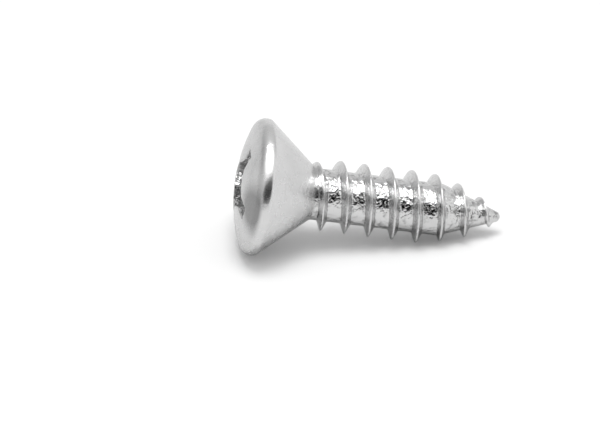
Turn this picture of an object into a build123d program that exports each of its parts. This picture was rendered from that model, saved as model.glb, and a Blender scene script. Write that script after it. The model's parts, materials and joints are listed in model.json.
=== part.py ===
from build123d import *
from math import asin, atan, atan2, cos, degrees, hypot, radians, sin, sqrt, tan
import os

# Raised countersunk head. The screw is made upright, its axis on Z and its point upwards.
# Places are measured from the widest part of the head, where the rim meets the seat.
head_diameter = 9.0
seat_angle = 80.0
rim_width = 0.75
crown_radius = 11.0
crown_edge_round = 0.78
seat_edge_round = 0.42

# Core and gimlet point
length = 15.875
core_diameter = 3.40
neck_round = 0.35
point_angle = 40.0
tip_diameter = 0.49
tip_round = 0.18

# Spaced right-hand thread, 16 to the inch
thread_diameter = 4.65
pitch = 1.5875
flank_angle = 60.0
crest_width = 0.10
thread_sink = 0.15

# End of the thread. Its crest falls gently at first, then faster down to the tip.
rest_crest_to_tip = 5.255
crest_fall_angle = 15.0
steep_fall_to_tip = 2.375
bare_tip = 0.475
end_crest_diameter = 1.20
end_core_diameter = 0.50
end_base_width = 0.45
end_crest_width = 0.06

# Cross recess
wing_length = 5.67
wing_width = 0.98
wing_wall = 0.40
wing_slope = 26.5
wing_draft = 5.0
wing_turn = 14.0
recess_depth = 3.10
land_corner_reach = 1.80
land_middle_reach = 1.51
land_slope = 12.0
pit_diameter = 1.50
pit_angle = 118.0
cut_above = 0.50

# Values that follow from the ones above
head_radius = head_diameter / 2
core_radius = core_diameter / 2
crest_radius = thread_diameter / 2
crown_edge = -rim_width
crown_top = crown_edge - crown_radius + sqrt(crown_radius**2 - head_radius**2)
seat_end = (head_radius - core_radius) / tan(radians(seat_angle / 2))
tip_radius = tip_diameter / 2
taper_start = length - (core_radius - tip_radius) / tan(radians(point_angle / 2))
thread_start = (head_radius - crest_radius) / tan(radians(seat_angle / 2)) - pitch / 2
thread_end = length - bare_tip
base_width = crest_width + 2 * (crest_radius - core_radius + thread_sink) * tan(radians(flank_angle / 2))

# The screw lies on the round under its rim and on two crests, one turn apart. The nearer one
# has the full height. The crest begins to fall where it must for the other to touch as well.
rest_crest = length - rest_crest_to_tip
round_place = -seat_edge_round * tan(radians(seat_angle / 4))
fall = head_radius - seat_edge_round - crest_radius
run = rest_crest - round_place
lean = atan2(fall, run) + asin(seat_edge_round / hypot(fall, run))
crest_fall_start = rest_crest + pitch * (1 - tan(lean) / tan(radians(crest_fall_angle)))
steep_fall_start = length - steep_fall_to_tip
steep_fall_radius = crest_radius - (steep_fall_start - crest_fall_start) * tan(radians(crest_fall_angle))
thread_turn = 180 - 360 * (rest_crest - thread_start) / pitch


def recess_plane(place):
    """Plane square to the axis, with its x along one pair of wings."""
    return Plane.XY.rotated((0, 0, wing_turn)).offset(place)


def wing_width_at(place):
    """Width of a wing, which narrows towards its floor."""
    return wing_width - 2 * (place - crown_top) * tan(radians(wing_draft))


def land_outline(shrink):
    """Corners of the open middle of the recess, blunted where each land points at the axis."""
    outline = []
    half_wing = wing_width / 2
    middle = land_middle_reach * sqrt(0.5)
    for quarter in range(4):
        for reach, side in ((land_corner_reach, half_wing), (middle, middle), (half_wing, land_corner_reach)):
            corner = Vector(reach * shrink, side * shrink).rotate(Axis.Z, 90 * quarter)
            outline.append(corner)
    return outline


def changed(place, start, end, value, end_value):
    """A value that changes evenly between two places, and stays as it is outside them."""
    share = min(1, max(0, (place - start) / (end - start)))
    return value + share * (end_value - value)


def ridge_corners(place):
    """Corners of the thread's section at a place, as pairs of a radius and a place."""
    if place < steep_fall_start:
        crest = changed(place, crest_fall_start, steep_fall_start, crest_radius, steep_fall_radius)
    else:
        crest = changed(place, steep_fall_start, thread_end, steep_fall_radius, end_crest_diameter / 2)
    foot = changed(place, taper_start, thread_end, core_radius - thread_sink, end_core_diameter / 2)
    base = changed(place, taper_start, thread_end, base_width, end_base_width)
    top = changed(place, taper_start, thread_end, crest_width, end_crest_width)
    return [(foot, place - base / 2), (crest, place - top / 2), (crest, place + top / 2), (foot, place + base / 2)]


def ridge(start, end):
    """One stretch of the thread as a closed solid. Each corner runs along its own helix."""
    turns = (end - start) / pitch
    helices = []
    for (radius, low), (end_radius, high) in zip(ridge_corners(start), ridge_corners(end)):
        cone = atan((end_radius - radius) / (high - low))
        slant_pitch = (high - low) / turns / cos(cone)
        helix = Edge.make_helix(slant_pitch, high - low, radius, angle=degrees(cone))
        helices.append(helix.moved(Location((0, 0, low))))
    faces = [Face.make_surface_from_curves(helices[i - 1], helices[i]) for i in range(4)]
    for end_cap in (0, 1):
        faces.append(Face(Wire.make_polygon([helix @ end_cap for helix in helices], close=True)))
    turned = thread_turn + 360 * (start - thread_start) / pitch
    return Solid(Shell(faces)).rotate(Axis.Z, turned)


with BuildPart() as screw:
    # Head, core and point, turned about the axis
    with BuildSketch(Plane.XZ):
        with BuildLine():
            crown = RadiusArc((0, crown_top), (head_radius, crown_edge), -crown_radius)
            rim = Line(crown @ 1, (head_radius, 0))
            seat = Line(rim @ 1, (core_radius, seat_end))
            core = Line(seat @ 1, (core_radius, taper_start))
            point = Line(core @ 1, (tip_radius, length))
            tip = Line(point @ 1, (0, length))
            Line(tip @ 1, (0, crown_top))
        make_face()
        fillet(vertices().sort_by_distance(crown @ 1)[0], crown_edge_round)
        fillet(vertices().sort_by_distance(rim @ 1)[0], seat_edge_round)
        fillet(vertices().sort_by_distance(seat @ 1)[0], neck_round)
        fillet(vertices().sort_by_distance(point @ 1)[0], tip_round)
    revolve(axis=Axis.Z)

    # Four wings of the cross: a short upright wall, then a floor that slopes in to the middle
    wall_foot = crown_top + crown_radius - sqrt(crown_radius**2 - (wing_length / 2) ** 2) + wing_wall
    floor = crown_top + recess_depth
    floor_length = wing_length - 2 * (floor - wall_foot) * tan(radians(wing_slope))
    for quarter_turn in (0, 90):
        for place, across in ((crown_top - cut_above, wing_length), (wall_foot, wing_length), (floor, floor_length)):
            with BuildSketch(recess_plane(place).rotated((0, 0, quarter_turn))):
                Rectangle(across, wing_width_at(place))
        loft(ruled=True, mode=Mode.SUBTRACT)

    # Open middle between the lands, and the drill point at the bottom
    for place in (crown_top - cut_above, floor):
        shrink = 1 - (place - crown_top) * tan(radians(land_slope)) / land_middle_reach
        with BuildSketch(recess_plane(place)):
            with BuildLine():
                Polyline(land_outline(shrink), close=True)
            make_face()
    loft(ruled=True, mode=Mode.SUBTRACT)
    pit_depth = pit_diameter / 2 / tan(radians(pit_angle / 2))
    with Locations(recess_plane(floor + pit_depth / 2)):
        Cone(pit_diameter / 2, 0, pit_depth, mode=Mode.SUBTRACT)

    # Thread, in stretches of about one turn, the first of them inside the head
    places = [thread_start]
    while places[-1] + pitch < crest_fall_start:
        places.append(places[-1] + pitch)
    places += sorted((crest_fall_start, taper_start, steep_fall_start, thread_end))
    for start, end in zip(places, places[1:]):
        add(ridge(start, end))

# The screw laid down: its axis leans to the point, and what was X stands above the axis.
lying = Plane((0, 0, 0), x_dir=(sin(lean), 0, cos(lean)), z_dir=(cos(lean), 0, -sin(lean)))
screw.part = screw.part.moved(lying.location)

# Origin on the surface that the screw lies on, under the middle of its box
box = screw.part.bounding_box()
screw.part = screw.part.moved(Location((-box.center().X, -box.center().Y, -box.min.Z)))

screw.part.label = "screw"
os.makedirs("parts", exist_ok=True)
export_step(screw.part, "parts/screw.step")
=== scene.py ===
import json
from math import asin, ceil, cos, pi, radians, sin, sqrt, tan

import bmesh
import bpy
from mathutils import Matrix, Quaternion, Vector


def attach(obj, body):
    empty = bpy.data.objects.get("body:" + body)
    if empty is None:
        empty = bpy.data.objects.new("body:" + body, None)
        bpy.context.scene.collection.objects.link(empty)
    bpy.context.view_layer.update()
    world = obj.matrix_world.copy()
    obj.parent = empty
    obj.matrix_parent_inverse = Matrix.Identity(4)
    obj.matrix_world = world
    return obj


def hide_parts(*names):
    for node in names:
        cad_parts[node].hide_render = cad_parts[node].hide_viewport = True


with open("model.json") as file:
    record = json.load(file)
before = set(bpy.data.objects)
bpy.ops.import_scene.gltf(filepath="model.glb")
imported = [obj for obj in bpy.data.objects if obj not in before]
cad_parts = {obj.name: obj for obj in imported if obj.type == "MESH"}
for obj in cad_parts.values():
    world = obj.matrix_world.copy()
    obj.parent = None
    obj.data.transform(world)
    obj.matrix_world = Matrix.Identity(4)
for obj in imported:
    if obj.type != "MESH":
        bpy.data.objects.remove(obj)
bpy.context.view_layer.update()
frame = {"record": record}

# A zinc plated sheet metal screw that lies on its side. The screw is made in its own frame, in
# millimetres: z runs along its axis to the point, from the widest part of the head, and x is above it.
MM = 0.001
MOUNTS = {mount["name"]: mount for mount in frame["record"]["mounts"]}
SEAT, THREAD, RECESS = MOUNTS["seat"], MOUNTS["thread"], MOUNTS["drive_recess"]

# Head
HEAD_RADIUS = SEAT["dims"]["r_mm"]
SEAT_LEAN = radians(40)
SEAT_SLOPE = tan(SEAT_LEAN)
RIM_WIDTH = 0.75
CROWN_RADIUS = 11.0
CROWN_TOP = sqrt(CROWN_RADIUS**2 - HEAD_RADIUS**2) - CROWN_RADIUS - RIM_WIDTH
CROWN_ROUND = 0.78
SEAT_ROUND = 0.42

# Where on the seat the head's rings end and the shank's grid begins
SEAT_JOIN = 0.60

# Core and gimlet point
LENGTH = 15.875
CORE_RADIUS = 1.70
NECK_ROUND = 0.16
POINT_SLOPE = tan(radians(20))
POINT_ROUND = 0.10
TIP_RADIUS = 0.245
TIP_ROUND = 0.20
TAPER_START = LENGTH - (CORE_RADIUS - TIP_RADIUS) / POINT_SLOPE

# Thread. The screw rests on two crests, one turn apart, and so the crest falls past the first.
THREAD_RADIUS = THREAD["dims"]["r_mm"]
PITCH = 1.5875
CREST_WIDTH = 0.13
FLANK_SLOPE = 1 / tan(radians(25))
REST_CREST = 10.62
AXIS_FALL = -SEAT["axis"][2] / SEAT["axis"][0]
FALL_SLOPE = tan(radians(15))
FALL_START = REST_CREST + PITCH * (1 - AXIS_FALL / FALL_SLOPE)
STEEP_START, THREAD_END = 13.50, 15.40
STEEP_RADIUS = THREAD_RADIUS - (STEEP_START - FALL_START) * FALL_SLOPE
END_RADIUS = 0.60

# Sizes that the shank's nodes take in. A round is how softly two shapes blend into each other.
SHANK_SIZES = {
    "length": LENGTH,
    "head radius": HEAD_RADIUS,
    "seat slope": SEAT_SLOPE,
    "seat join": SEAT_JOIN,
    "core radius": CORE_RADIUS,
    "neck round": NECK_ROUND,
    "taper start": TAPER_START,
    "point slope": POINT_SLOPE,
    "point round": POINT_ROUND,
    "tip round": TIP_ROUND,
    "thread radius": THREAD_RADIUS,
    "pitch": PITCH,
    "crest width": CREST_WIDTH,
    "crest lift": 0.03,
    "crest round": 0.15,
    "flank slope": FLANK_SLOPE,
    "foot round": 0.07,
    "run out place": 3.26,
    "run out radius": 2.04,
    "run out slope": 0.34,
    "run out round": 0.05,
    "fall start": FALL_START,
    "fall slope": FALL_SLOPE,
    "fall round": 0.10,
    "steep start": STEEP_START,
    "steep radius": STEEP_RADIUS,
    "steep slope": (STEEP_RADIUS - END_RADIUS) / (THREAD_END - STEEP_START),
    "steep round": 0.15,
    "rolled from": 3.1,
    "rolled fade": 0.5,
    "crest waver": 0.03,
    "core pitting": 0.012,
}

# Cross recess. Depths are below the top of the crown.
WING_LENGTH = 2 * RECESS["dims"]["r_mm"]
RECESS_DEPTH = RECESS["dims"]["length_mm"]
MOUTH_DEPTH = CROWN_RADIUS - sqrt(CROWN_RADIUS**2 - (WING_LENGTH / 2) ** 2)
WALL_FOOT = MOUTH_DEPTH + 0.40
WING_WIDTH = 0.98
WING_SLOPE = tan(radians(26.5))
WING_DRAFT = tan(radians(5))
WING_TURN = radians(14)
LAND_CORNER = (1.80, 0.49)
LAND_MIDDLE = 1.51 * sqrt(0.5)
LAND_SLOPE = tan(radians(12))
RECESS_LIP = 0.07
PIT_RADIUS = 0.75
PIT_DEPTH = 0.45

# How finely the surface is divided
WING_END_STEPS, WING_SIDE_STEPS, LAND_STEPS = 4, 6, 8
OCTANT = WING_END_STEPS + WING_SIDE_STEPS + LAND_STEPS
COLUMNS = 8 * OCTANT
FLOOR_STEPS, LIP_STEPS, CROWN_STEPS, ROUND_STEPS = 12, 5, 16, 12
STEPS_PER_PITCH = 28
ROW_CROWDING = 0.75
NOISE_RADIUS = 2.0
POLE = 1e-6
MERGE = 0.002
SHARP = radians(32)

# Finish. The lands are the core's surface between the crests, and the walls of the recess look
# nearly as they do. The crown's cloudy darkening, and a dark spot on it near the rim, are painted
# reflection.
PLATE = (0.71, 0.71, 0.71, 1.0)
# The darker colour serves both the duller plating and the painted reflection on the crown.
DULL_PLATE_AND_PAINTED_REFLECTION = (0.28, 0.28, 0.28, 1.0)
GRAIN_SCALE, MOTTLE_SCALE, CLOUD_SCALE, PIT_SCALE = 4300.0, 1300.0, 420.0, 2700.0
GRAIN, GRAIN_ON_LANDS = 0.12, 1.3
MOTTLE, MOTTLE_ON_LANDS = 0.36, 1.5
RELIEF = 0.00006
ROUGHNESS, ROUGHER_WITH_MOTTLE, SMOOTHER_ON_LANDS = 0.22, 0.10, 0.12
# How strongly each mask darkens: on the crown, its clouds and its spot are painted reflection; the pits
# and the faint clouds all over are duller plating.
PAINTED_REFLECTION_ON_CROWN, PAINTED_REFLECTION_CLOUDS, PAINTED_REFLECTION_HEART, DULL_PITS, DULL_ALL_OVER = 0.05, 0.4, 1.1, 0.7, 0.5
CLOUDS_FROM = 0.45
PITS_FROM, PITS_TO = 0.54, 0.68
# The heart of the painted reflection on the crown, and how far it spreads.
PAINTED_REFLECTION_SPOT = (0.30, 3.80, -1.02)
SPOT_RADIUS, SPOT_HEART = 2.3, 0.2
CROWN_EDGE, CROWN_FADE = -0.40, 0.30
PUNCHED = 0.7
LAND_FADE = 1.2
PAPER = (0.70, 0.70, 0.70, 1.0)
PAPER_LIFT = 0.12
FLOOR_REACH = 2.0

# Light: a white tent. Each patch has a direction, a factor below 1 that widens it sideways, and
# the cosines between which it fades in.
TENT, OVERHEAD_LIGHT, DIM_END, DIM_BACK = 0.95, 1.7, 0.22, 0.28
OVERHEAD = (Vector((0.0, -0.27, 0.96)).normalized(), 0.7, 0.85, 0.95)
OPENING = (Vector((0.10, -0.94, 0.33)).normalized(), 0.6, 0.82, 0.93)
END_FADE, BACK_FADE, HIGH_FADE = (-0.35, -0.85), (-0.10, 0.30), (0.20, 0.50)
LAMP_POWER, LAMP_SIZE = 0.62, 0.16
LAMP_PLACE = Vector((0.0, -0.05, 0.35))

# Camera, aimed from the middle of the rim
AZIMUTH, ELEVATION, ROLL = radians(-4.2), radians(28.5), radians(-1.0)
AIM_RIGHT, AIM_DOWN = 2.47, 1.68
DISTANCE = 0.50
VIEW_WIDTH = 39.1 * MM


class Value:
    """A node's output, on which sums are written as Python expressions."""

    def __init__(self, graph, socket):
        self.graph = graph
        self.socket = socket

    def math(self, operation, *others):
        node = self.graph.add("ShaderNodeMath", {"operation": operation}, dict(enumerate((self, *others))))
        return node[0]

    def __add__(self, other):
        return self.math("ADD", other)

    def __sub__(self, other):
        return self.math("SUBTRACT", other)

    def __mul__(self, other):
        return self.math("MULTIPLY", other)

    def __truediv__(self, other):
        return self.math("DIVIDE", other)

    def __radd__(self, other):
        return self.math("ADD", other)

    def __rmul__(self, other):
        return self.math("MULTIPLY", other)

    def __rsub__(self, other):
        return (self * -1.0).math("ADD", other)

    def at_least(self, other):
        return self.math("MAXIMUM", other)

    def at_most(self, other):
        return self.math("MINIMUM", other)

    def lower_of(self, other, blend=0.0):
        return self.math("SMOOTH_MIN", other, blend)

    def upper_of(self, other, blend=0.0):
        return self.math("SMOOTH_MAX", other, blend)

    def fade(self, start, end, way="SMOOTHSTEP"):
        """0 where the value is at the start, and 1 where it is at the end."""
        return self.graph.add("ShaderNodeMapRange", {"interpolation_type": way}, {
            "Value": self, "From Min": start, "From Max": end})["Result"]


class Added:
    """A node that was added to a graph, whose outputs are read by name or number."""

    def __init__(self, graph, node):
        self.graph = graph
        self.node = node

    def __getitem__(self, name):
        return Value(self.graph, self.node.outputs[name])


class Graph:
    """Adds nodes to one tree."""

    def __init__(self, tree):
        self.tree = tree

    def add(self, kind, settings=None, inputs=None):
        node = self.tree.nodes.new(kind)
        for name, value in (settings or {}).items():
            setattr(node, name, value)
        for name, value in (inputs or {}).items():
            if isinstance(value, Value):
                self.tree.links.new(value.socket, node.inputs[name])
            else:
                node.inputs[name].default_value = value
        return Added(self, node)

    def noise(self, place, scale, detail):
        """Smooth noise from 0 to 1."""
        return self.add("ShaderNodeTexNoise", {}, {"Vector": place, "Scale": scale, "Detail": detail})[0]

    def vector_math(self, operation, first, second):
        return self.add("ShaderNodeVectorMath", {"operation": operation}, {0: first, 1: second})

    def attribute(self, name):
        return self.add("ShaderNodeAttribute", {"attribute_name": name})["Fac"]


def laid_down():
    """Turns places in the screw's own frame, in millimetres, into the shared frame, in metres."""
    along = Vector(SEAT["axis"]).normalized()
    side = along.cross(Vector((0, 0, 1))).normalized()
    above = side.cross(along)
    turn = Matrix((above, along.cross(above), along)).transposed().to_4x4()
    return Matrix.Translation(Vector(SEAT["pos_m"])) @ turn @ Matrix.Scale(MM, 4)


# The shank: one grid wound round the axis, whose rows follow the thread


def shank_tree():
    """Geometry Nodes for the seat's lower part, the neck, the thread and the point."""
    tree = bpy.data.node_groups.new("rolled_thread", "GeometryNodeTree")
    for name, value in SHANK_SIZES.items():
        socket = tree.interface.new_socket(name, in_out="INPUT", socket_type="NodeSocketFloat")
        socket.default_value = value
    tree.interface.new_socket("finish", in_out="INPUT", socket_type="NodeSocketMaterial")
    tree.interface.new_socket("screw", in_out="OUTPUT", socket_type="NodeSocketGeometry")
    graph = Graph(tree)
    size = graph.add("NodeGroupInput")

    crest_above = REST_CREST - PITCH / 2
    first_strand = int((SEAT_JOIN - crest_above) // PITCH) - 1
    strands = ceil((LENGTH - crest_above) / PITCH) - first_strand
    rows = strands * STEPS_PER_PITCH + 1
    grid = graph.add("GeometryNodeMeshGrid", {}, {"Vertices X": COLUMNS + 1, "Vertices Y": rows})
    flat = graph.add("ShaderNodeSeparateXYZ", {}, {0: graph.add("GeometryNodeInputPosition")["Position"]})

    # Columns stand in line with the head's, which are turned with the recess. Rows are closest
    # together at the crests, which are at the whole numbers.
    turn = flat["X"] + (0.5 + WING_TURN / (2 * pi))
    row = (flat["Y"] + 0.5) * strands + first_strand
    strand = row - (row * (2 * pi)).math("SINE") * (ROW_CROWDING / (2 * pi))
    wound = (strand + turn) * size["pitch"] + crest_above
    place = wound.at_least(size["seat join"]).at_most(size["length"])
    angle = turn * (2 * pi)

    def from_axis(radius):
        """Each corner's place, at a distance from the axis."""
        return graph.add("ShaderNodeCombineXYZ", {}, {
            "X": angle.math("COSINE") * radius, "Y": angle.math("SINE") * radius, "Z": place})["Vector"]

    def unevenness(scale, detail):
        """Smooth noise from about -1 to 1, read on a cylinder so that it closes round the shank."""
        return (graph.noise(from_axis(NOISE_RADIUS), scale, detail) - 0.5) * 2.0

    waver = unevenness(0.9, 2.0) * size["crest waver"]
    pitting = unevenness(5.0, 3.0) * size["core pitting"]
    rolled = ((place - size["rolled from"]) / size["rolled fade"]).at_least(0.0).at_most(1.0)

    # Body of the screw: seat, neck, core and point
    seat = size["head radius"] - place * size["seat slope"]
    point = size["core radius"] - (place - size["taper start"]) * size["point slope"]
    body = seat.upper_of(size["core radius"], size["neck round"]).lower_of(point, size["point round"])
    body = body + pitting * rolled

    # Ridge of the thread, lower where it runs out into the seat and towards the point
    run_out = (place - size["run out place"]) * size["run out slope"] + size["run out radius"]
    falling = size["thread radius"] - (place - size["fall start"]) * size["fall slope"]
    steep = size["steep radius"] - (place - size["steep start"]) * size["steep slope"]
    crest = size["thread radius"].lower_of(run_out, size["run out round"])
    crest = crest.lower_of(falling, size["fall round"]).lower_of(steep, size["steep round"]) + waver
    from_crest = (strand - strand.math("ROUND")).math("ABSOLUTE") * size["pitch"]
    flank = crest + (size["crest width"] / 2 - from_crest) * size["flank slope"]
    ridge = flank.lower_of(crest + size["crest lift"], size["crest round"])

    from_end = size["length"] - place
    end_round = (from_end * (from_end + 2 * size["tip round"])).at_least(0.0).math("SQRT")
    radius = body.upper_of(ridge, size["foot round"]).lower_of(end_round)
    height = ((radius - body) / (THREAD_RADIUS - CORE_RADIUS)).at_least(0.0)

    # The height and the rolled stretch are stored before the corners move.
    skin = grid["Mesh"]
    for name, value in (("ridge", height), ("formed", rolled)):
        skin = graph.add("GeometryNodeStoreNamedAttribute", {"data_type": "FLOAT", "domain": "POINT"}, {
            "Geometry": skin, "Name": name, "Value": value})["Geometry"]
    wound_up = graph.add("GeometryNodeSetPosition", {}, {"Geometry": skin, "Position": from_axis(radius)})
    closed = graph.add("GeometryNodeMergeByDistance", {}, {
        "Geometry": wound_up["Geometry"], "Distance": MERGE})
    real = graph.add("GeometryNodeRealizeInstances", {}, {"Geometry": closed["Geometry"]})
    plated = graph.add("GeometryNodeSetMaterial", {}, {
        "Geometry": real["Geometry"], "Material": size["finish"]})
    graph.add("NodeGroupOutput", {}, {"screw": plated["Geometry"]})
    return tree


def make_shank(finish):
    """The shank's mesh, read from the nodes."""
    carrier = bpy.data.objects.new("shank_carrier", bpy.data.meshes.new("shank_carrier"))
    bpy.context.scene.collection.objects.link(carrier)
    modifier = carrier.modifiers.new("rolled_thread", "NODES")
    modifier.node_group = shank_tree()
    for item in modifier.node_group.interface.items_tree:
        if item.in_out == "INPUT":
            modifier[item.identifier] = finish if item.name == "finish" else SHANK_SIZES[item.name]
    ready = carrier.evaluated_get(bpy.context.evaluated_depsgraph_get())
    mesh = bpy.data.meshes.new_from_object(ready)
    bpy.data.objects.remove(carrier)
    return mesh


# The head: rings from the bottom of the recess, over the crown and the rim, to the seat


def crown_place(radius):
    """Where the crown is at a distance from the axis."""
    return CROWN_TOP + CROWN_RADIUS - sqrt(CROWN_RADIUS**2 - radius**2)


def octant_corners(depth, outset):
    """Corners of one eighth of the recess's outline, from a wing's middle to a land's middle."""
    length = WING_LENGTH / 2 - max(0.0, depth - WALL_FOOT) * WING_SLOPE + outset
    width = WING_WIDTH / 2 - depth * WING_DRAFT + outset
    shrink = 1 - depth * LAND_SLOPE / (LAND_MIDDLE * sqrt(2))
    corner = Vector(LAND_CORNER) * shrink
    middle = Vector((LAND_MIDDLE, LAND_MIDDLE)) * shrink
    edge = (middle - corner).normalized()
    outwards = Vector((edge.y, -edge.x))
    if outwards.dot(middle) < 0:
        outwards = -outwards
    corner += outwards * outset
    wing_foot = corner + edge * ((width - corner.y) / edge.y)
    reach = outwards.dot(corner) / (outwards.x + outwards.y)
    return [Vector((length, 0)), Vector((length, width)), wing_foot, Vector((reach, reach))]


def recess_ring(depth, outset=0.0):
    """The recess's outline at a depth, as a ring of flat points."""
    corners = octant_corners(depth, outset)
    eighth = []
    for start, end, steps in zip(corners, corners[1:], (WING_END_STEPS, WING_SIDE_STEPS, LAND_STEPS)):
        eighth += [start.lerp(end, step / steps) for step in range(steps)]
    eighth.append(corners[-1])
    ring = []
    for column in range(COLUMNS):
        octant, step = divmod(column, OCTANT)
        if octant % 2:
            point = eighth[OCTANT - step]
            ring.append(turned((point.x, -point.y), (octant + 1) * pi / 4))
        else:
            ring.append(turned(eighth[step], octant * pi / 4))
    return ring


def turned(point, angle):
    x, y = point
    return Vector((x * cos(angle) - y * sin(angle), x * sin(angle) + y * cos(angle)))


def circle(radius):
    return [turned((radius, 0), 2 * pi * column / COLUMNS) for column in range(COLUMNS)]


def level(ring, place):
    return [(point.x, point.y, place) for point in ring]


def on_crown(ring, drop=0.0):
    return [(point.x, point.y, crown_place(point.length) + drop) for point in ring]


def between(inner, outer, share):
    return [a.lerp(b, share) for a, b in zip(inner, outer)]


def recess_rings():
    """Rings up from the bottom of the recess to the outside of its lip."""
    bottom = CROWN_TOP + RECESS_DEPTH
    rings = [level(circle(POLE), bottom + PIT_DEPTH)]
    for share in (0.25, 0.5, 0.75):
        rings.append(level(circle(PIT_RADIUS * share), bottom + PIT_DEPTH * (1 - share)))
    for share in (0.0, 0.5, 1.0):
        rings.append(level(between(circle(PIT_RADIUS), recess_ring(RECESS_DEPTH), share), bottom))
    for step in range(1, FLOOR_STEPS + 1):
        depth = RECESS_DEPTH + (WALL_FOOT - RECESS_DEPTH) * step / FLOOR_STEPS
        rings.append(level(recess_ring(depth), CROWN_TOP + depth))

    # The wall starts level at its foot and follows the crown at its top.
    foot_place = CROWN_TOP + WALL_FOOT
    for share in (0.35, 0.7):
        ring = []
        for point in between(recess_ring(WALL_FOOT), recess_ring(MOUTH_DEPTH), share):
            lip_foot = crown_place(point.length) + RECESS_LIP
            ring.append((point.x, point.y, foot_place * (1 - share) + lip_foot * share))
        rings.append(ring)
    for step in range(LIP_STEPS + 1):
        swing = pi / 2 * step / LIP_STEPS
        ring = recess_ring(MOUTH_DEPTH, RECESS_LIP * (1 - cos(swing)))
        rings.append(on_crown(ring, RECESS_LIP * (1 - sin(swing))))
    return rings


def edge_rings(edge_round, center, start, end, first_step):
    """Rings over a rounded edge of the rim, between two angles from the way the head faces."""
    rings = []
    for step in range(first_step, ROUND_STEPS + 1):
        lean = start + (end - start) * step / ROUND_STEPS
        ring = circle(HEAD_RADIUS - edge_round + edge_round * sin(lean))
        rings.append(level(ring, center - edge_round * cos(lean)))
    return rings


def crown_and_rim_rings():
    """Rings from the recess's lip to the seat, where the shank begins."""
    lip = recess_ring(MOUTH_DEPTH, RECESS_LIP)
    crown_lean = asin((HEAD_RADIUS - CROWN_ROUND) / (CROWN_RADIUS - CROWN_ROUND))
    crown_edge = CROWN_RADIUS * sin(crown_lean)
    rings = []
    for step in range(1, CROWN_STEPS + 1):
        rings.append(on_crown(between(lip, circle(crown_edge), step / CROWN_STEPS)))
    crown_center = crown_place(crown_edge) + CROWN_ROUND * cos(crown_lean)
    rings += edge_rings(CROWN_ROUND, crown_center, crown_lean, pi / 2, 1)
    rings += edge_rings(SEAT_ROUND, -SEAT_ROUND * tan(SEAT_LEAN / 2), pi / 2, pi / 2 + SEAT_LEAN, 0)
    seat_start = rings[-1][0][2]
    for share in (0.5, 1.0):
        place = seat_start + (SEAT_JOIN - seat_start) * share
        rings.append(level(circle(HEAD_RADIUS - place * SEAT_SLOPE), place))
    return rings


def make_head():
    """The head's mesh: quads between neighbouring rings."""
    punched = recess_rings()
    rings = punched + crown_and_rim_rings()
    turn = Matrix.Rotation(WING_TURN, 3, "Z")
    points = [turn @ Vector(point) for ring in rings for point in ring]
    faces = []
    for ring in range(len(rings) - 1):
        for column in range(COLUMNS):
            beside = (column + 1) % COLUMNS
            low, high = ring * COLUMNS, (ring + 1) * COLUMNS
            faces.append((low + column, low + beside, high + beside, high + column))
    mesh = bpy.data.meshes.new("head")
    mesh.from_pydata(points, [], faces)
    # The crown's mask, where its painted reflection darkens it.
    crown = mesh.attributes.new("crown", "FLOAT", "POINT")
    for corner, point in zip(crown.data, points):
        corner.value = min(1.0, max(0.0, (CROWN_EDGE - point.z) / CROWN_FADE))
    formed = mesh.attributes.new("formed", "FLOAT", "POINT")
    for corner in formed.data[:len(punched) * COLUMNS]:
        corner.value = PUNCHED
    return mesh


def make_screw(finish):
    """Joins the head and the shank into one closed skin, and lays it down."""
    form = bmesh.new()
    form.from_mesh(make_head())
    form.from_mesh(make_shank(finish))
    bmesh.ops.remove_doubles(form, verts=form.verts, dist=MERGE)
    bmesh.ops.dissolve_degenerate(form, edges=form.edges, dist=MERGE / 4)
    bmesh.ops.recalc_face_normals(form, faces=form.faces)
    for face in form.faces:
        face.smooth = True
    for edge in form.edges:
        edge.smooth = edge.calc_face_angle(0.0) < SHARP
    mesh = bpy.data.meshes.new("zinc_screw")
    form.to_mesh(mesh)
    form.free()
    mesh.transform(laid_down())
    mesh.materials.clear()
    mesh.materials.append(finish)
    screw = bpy.data.objects.new("zinc_screw", mesh)
    bpy.context.scene.collection.objects.link(screw)
    return screw


# Finish


def blank_material(name):
    """A material without nodes, and its graph."""
    material = bpy.data.materials.new(name)
    material.use_nodes = True
    material.node_tree.nodes.clear()
    return material, Graph(material.node_tree)


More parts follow.
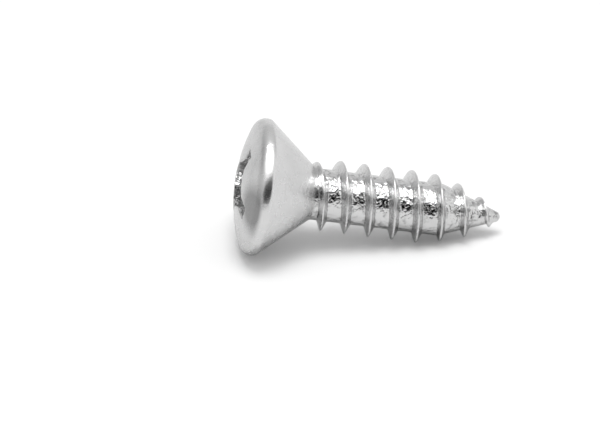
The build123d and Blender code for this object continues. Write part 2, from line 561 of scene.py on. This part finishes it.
def zinc_plate():
    """Bright zinc over rolled and forged steel."""
    material, graph = blank_material("zinc_plate")
    where = graph.add("ShaderNodeTexCoord")["Object"]
    land = graph.attribute("formed") * (1 - graph.attribute("ridge") * LAND_FADE).at_least(0.0)

    # Fine grain all over, and a rougher, brighter skin on the lands that the dies formed
    grain = graph.noise(where, GRAIN_SCALE, 2.0)
    mottle = graph.noise(where, MOTTLE_SCALE, 2.0)
    relief = (grain - 0.5) * (GRAIN + GRAIN_ON_LANDS * land)
    relief = relief + (mottle - 0.5) * (MOTTLE + MOTTLE_ON_LANDS * land)
    bump = graph.add("ShaderNodeBump", {}, {"Strength": 1.0, "Distance": RELIEF, "Height": relief})
    rough = ROUGHNESS + mottle * ROUGHER_WITH_MOTTLE - land * SMOOTHER_ON_LANDS

    # Painted reflection: one dark spot and a cloudiness on the crown. Duller plating: pits on the lands,
    # and faint clouds
    clouds = graph.noise(where, CLOUD_SCALE, 3.0)
    from_spot = graph.vector_math("DISTANCE", where, laid_down() @ Vector(PAINTED_REFLECTION_SPOT))["Value"]
    spot = from_spot.fade(SPOT_RADIUS * MM, SPOT_HEART * MM)
    pits = graph.noise(where, PIT_SCALE, 3.0).fade(PITS_FROM, PITS_TO, "LINEAR")
    dull_and_painted_reflection = graph.attribute("crown") * (PAINTED_REFLECTION_ON_CROWN + clouds * PAINTED_REFLECTION_CLOUDS + spot * PAINTED_REFLECTION_HEART)
    dull_and_painted_reflection = dull_and_painted_reflection + pits * land * DULL_PITS + (clouds - CLOUDS_FROM).at_least(0.0) * DULL_ALL_OVER
    tint = graph.add("ShaderNodeMix", {"data_type": "RGBA"}, {
        "Factor": dull_and_painted_reflection, "A": PLATE, "B": DULL_PLATE_AND_PAINTED_REFLECTION})["Result"]
    shader = graph.add("ShaderNodeBsdfPrincipled", {}, {
        "Base Color": tint, "Metallic": 1.0, "Roughness": rough, "Normal": bump["Normal"]})
    graph.add("ShaderNodeOutputMaterial", {}, {"Surface": shader["BSDF"]})
    return material


def floor_finish():
    """White paper that shows as white and keeps the shadow."""
    material, graph = blank_material("white_floor")
    seen = graph.add("ShaderNodeLightPath")["Is Camera Ray"]
    lift = graph.add("ShaderNodeEmission", {}, {"Color": seen * PAPER_LIFT})
    paper = graph.add("ShaderNodeBsdfDiffuse", {}, {"Color": PAPER})
    both = graph.add("ShaderNodeAddShader", {}, {0: paper["BSDF"], 1: lift["Emission"]})
    graph.add("ShaderNodeOutputMaterial", {}, {"Surface": both["Shader"]})
    return material


# Floor, light and camera


def make_floor():
    mesh = bpy.data.meshes.new("floor")
    corners = [(x * FLOOR_REACH, y * FLOOR_REACH, 0) for x, y in ((-1, -1), (1, -1), (1, 1), (-1, 1))]
    mesh.from_pydata(corners, [], [(0, 1, 2, 3)])
    mesh.materials.append(floor_finish())
    floor = bpy.data.objects.new("floor", mesh)
    bpy.context.scene.collection.objects.link(floor)


def light_room():
    """A white tent, brightest overhead, with a dark opening on the camera's side and a dimmer end."""
    world = bpy.data.worlds.new("tent")
    bpy.context.scene.world = world
    world.use_nodes = True
    world.node_tree.nodes.clear()
    graph = Graph(world.node_tree)
    way = graph.add("ShaderNodeTexCoord")["Generated"]
    parts = graph.add("ShaderNodeSeparateXYZ", {}, {0: way})

    def patch(center, wideness, start, end):
        """1 near a direction and 0 further away."""
        spread = graph.vector_math("MULTIPLY", way, (wideness, 1, 1))["Vector"]
        even = graph.add("ShaderNodeVectorMath", {"operation": "NORMALIZE"}, {0: spread})["Vector"]
        return graph.vector_math("DOT_PRODUCT", even, center)["Value"].fade(start, end)

    overhead = patch(*OVERHEAD)
    opening = patch(*OPENING)
    dim_end = parts["X"].fade(*END_FADE)
    dim_back = parts["Y"].fade(*BACK_FADE) * parts["Z"].fade(*HIGH_FADE)
    tent = (TENT - DIM_END * dim_end - DIM_BACK * dim_back) * (1 - opening) * (1 - overhead)
    seen = graph.add("ShaderNodeLightPath")["Is Camera Ray"]
    shade = (tent + overhead * OVERHEAD_LIGHT) * (1 - seen) + seen
    sky = graph.add("ShaderNodeBackground", {}, {"Color": shade})
    graph.add("ShaderNodeOutputWorld", {}, {"Surface": sky["Background"]})


def hang_lamp():
    """A square lamp that faces the screw."""
    lamp = bpy.data.lights.new("overhead", "AREA")
    lamp.energy = LAMP_POWER
    lamp.size = LAMP_SIZE
    body = bpy.data.objects.new("overhead", lamp)
    bpy.context.scene.collection.objects.link(body)
    body.location = LAMP_PLACE
    body.rotation_euler = LAMP_PLACE.to_track_quat("Z", "Y").to_euler()


def aim_camera():
    """Looks down on the screw's side, from a little towards its head."""
    back = Vector((sin(AZIMUTH) * cos(ELEVATION), -cos(AZIMUTH) * cos(ELEVATION), sin(ELEVATION)))
    turn = back.to_track_quat("Z", "Y") @ Quaternion((0, 0, 1), ROLL)
    right, up = turn @ Vector((1, 0, 0)), turn @ Vector((0, 1, 0))
    target = Vector(SEAT["pos_m"]) + right * AIM_RIGHT * MM - up * AIM_DOWN * MM
    camera = bpy.data.cameras.new("camera")
    camera.lens = camera.sensor_width * DISTANCE / VIEW_WIDTH
    camera.clip_start = 0.01
    body = bpy.data.objects.new("camera", camera)
    body.location = target + back * DISTANCE
    body.rotation_mode = "QUATERNION"
    body.rotation_quaternion = turn
    bpy.context.scene.collection.objects.link(body)
    bpy.context.scene.camera = body


bpy.context.scene.view_settings.view_transform = "Standard"
aim_camera()
make_floor()
light_room()
hang_lamp()
screw = make_screw(zinc_plate())
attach(screw, "root")
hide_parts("screw")
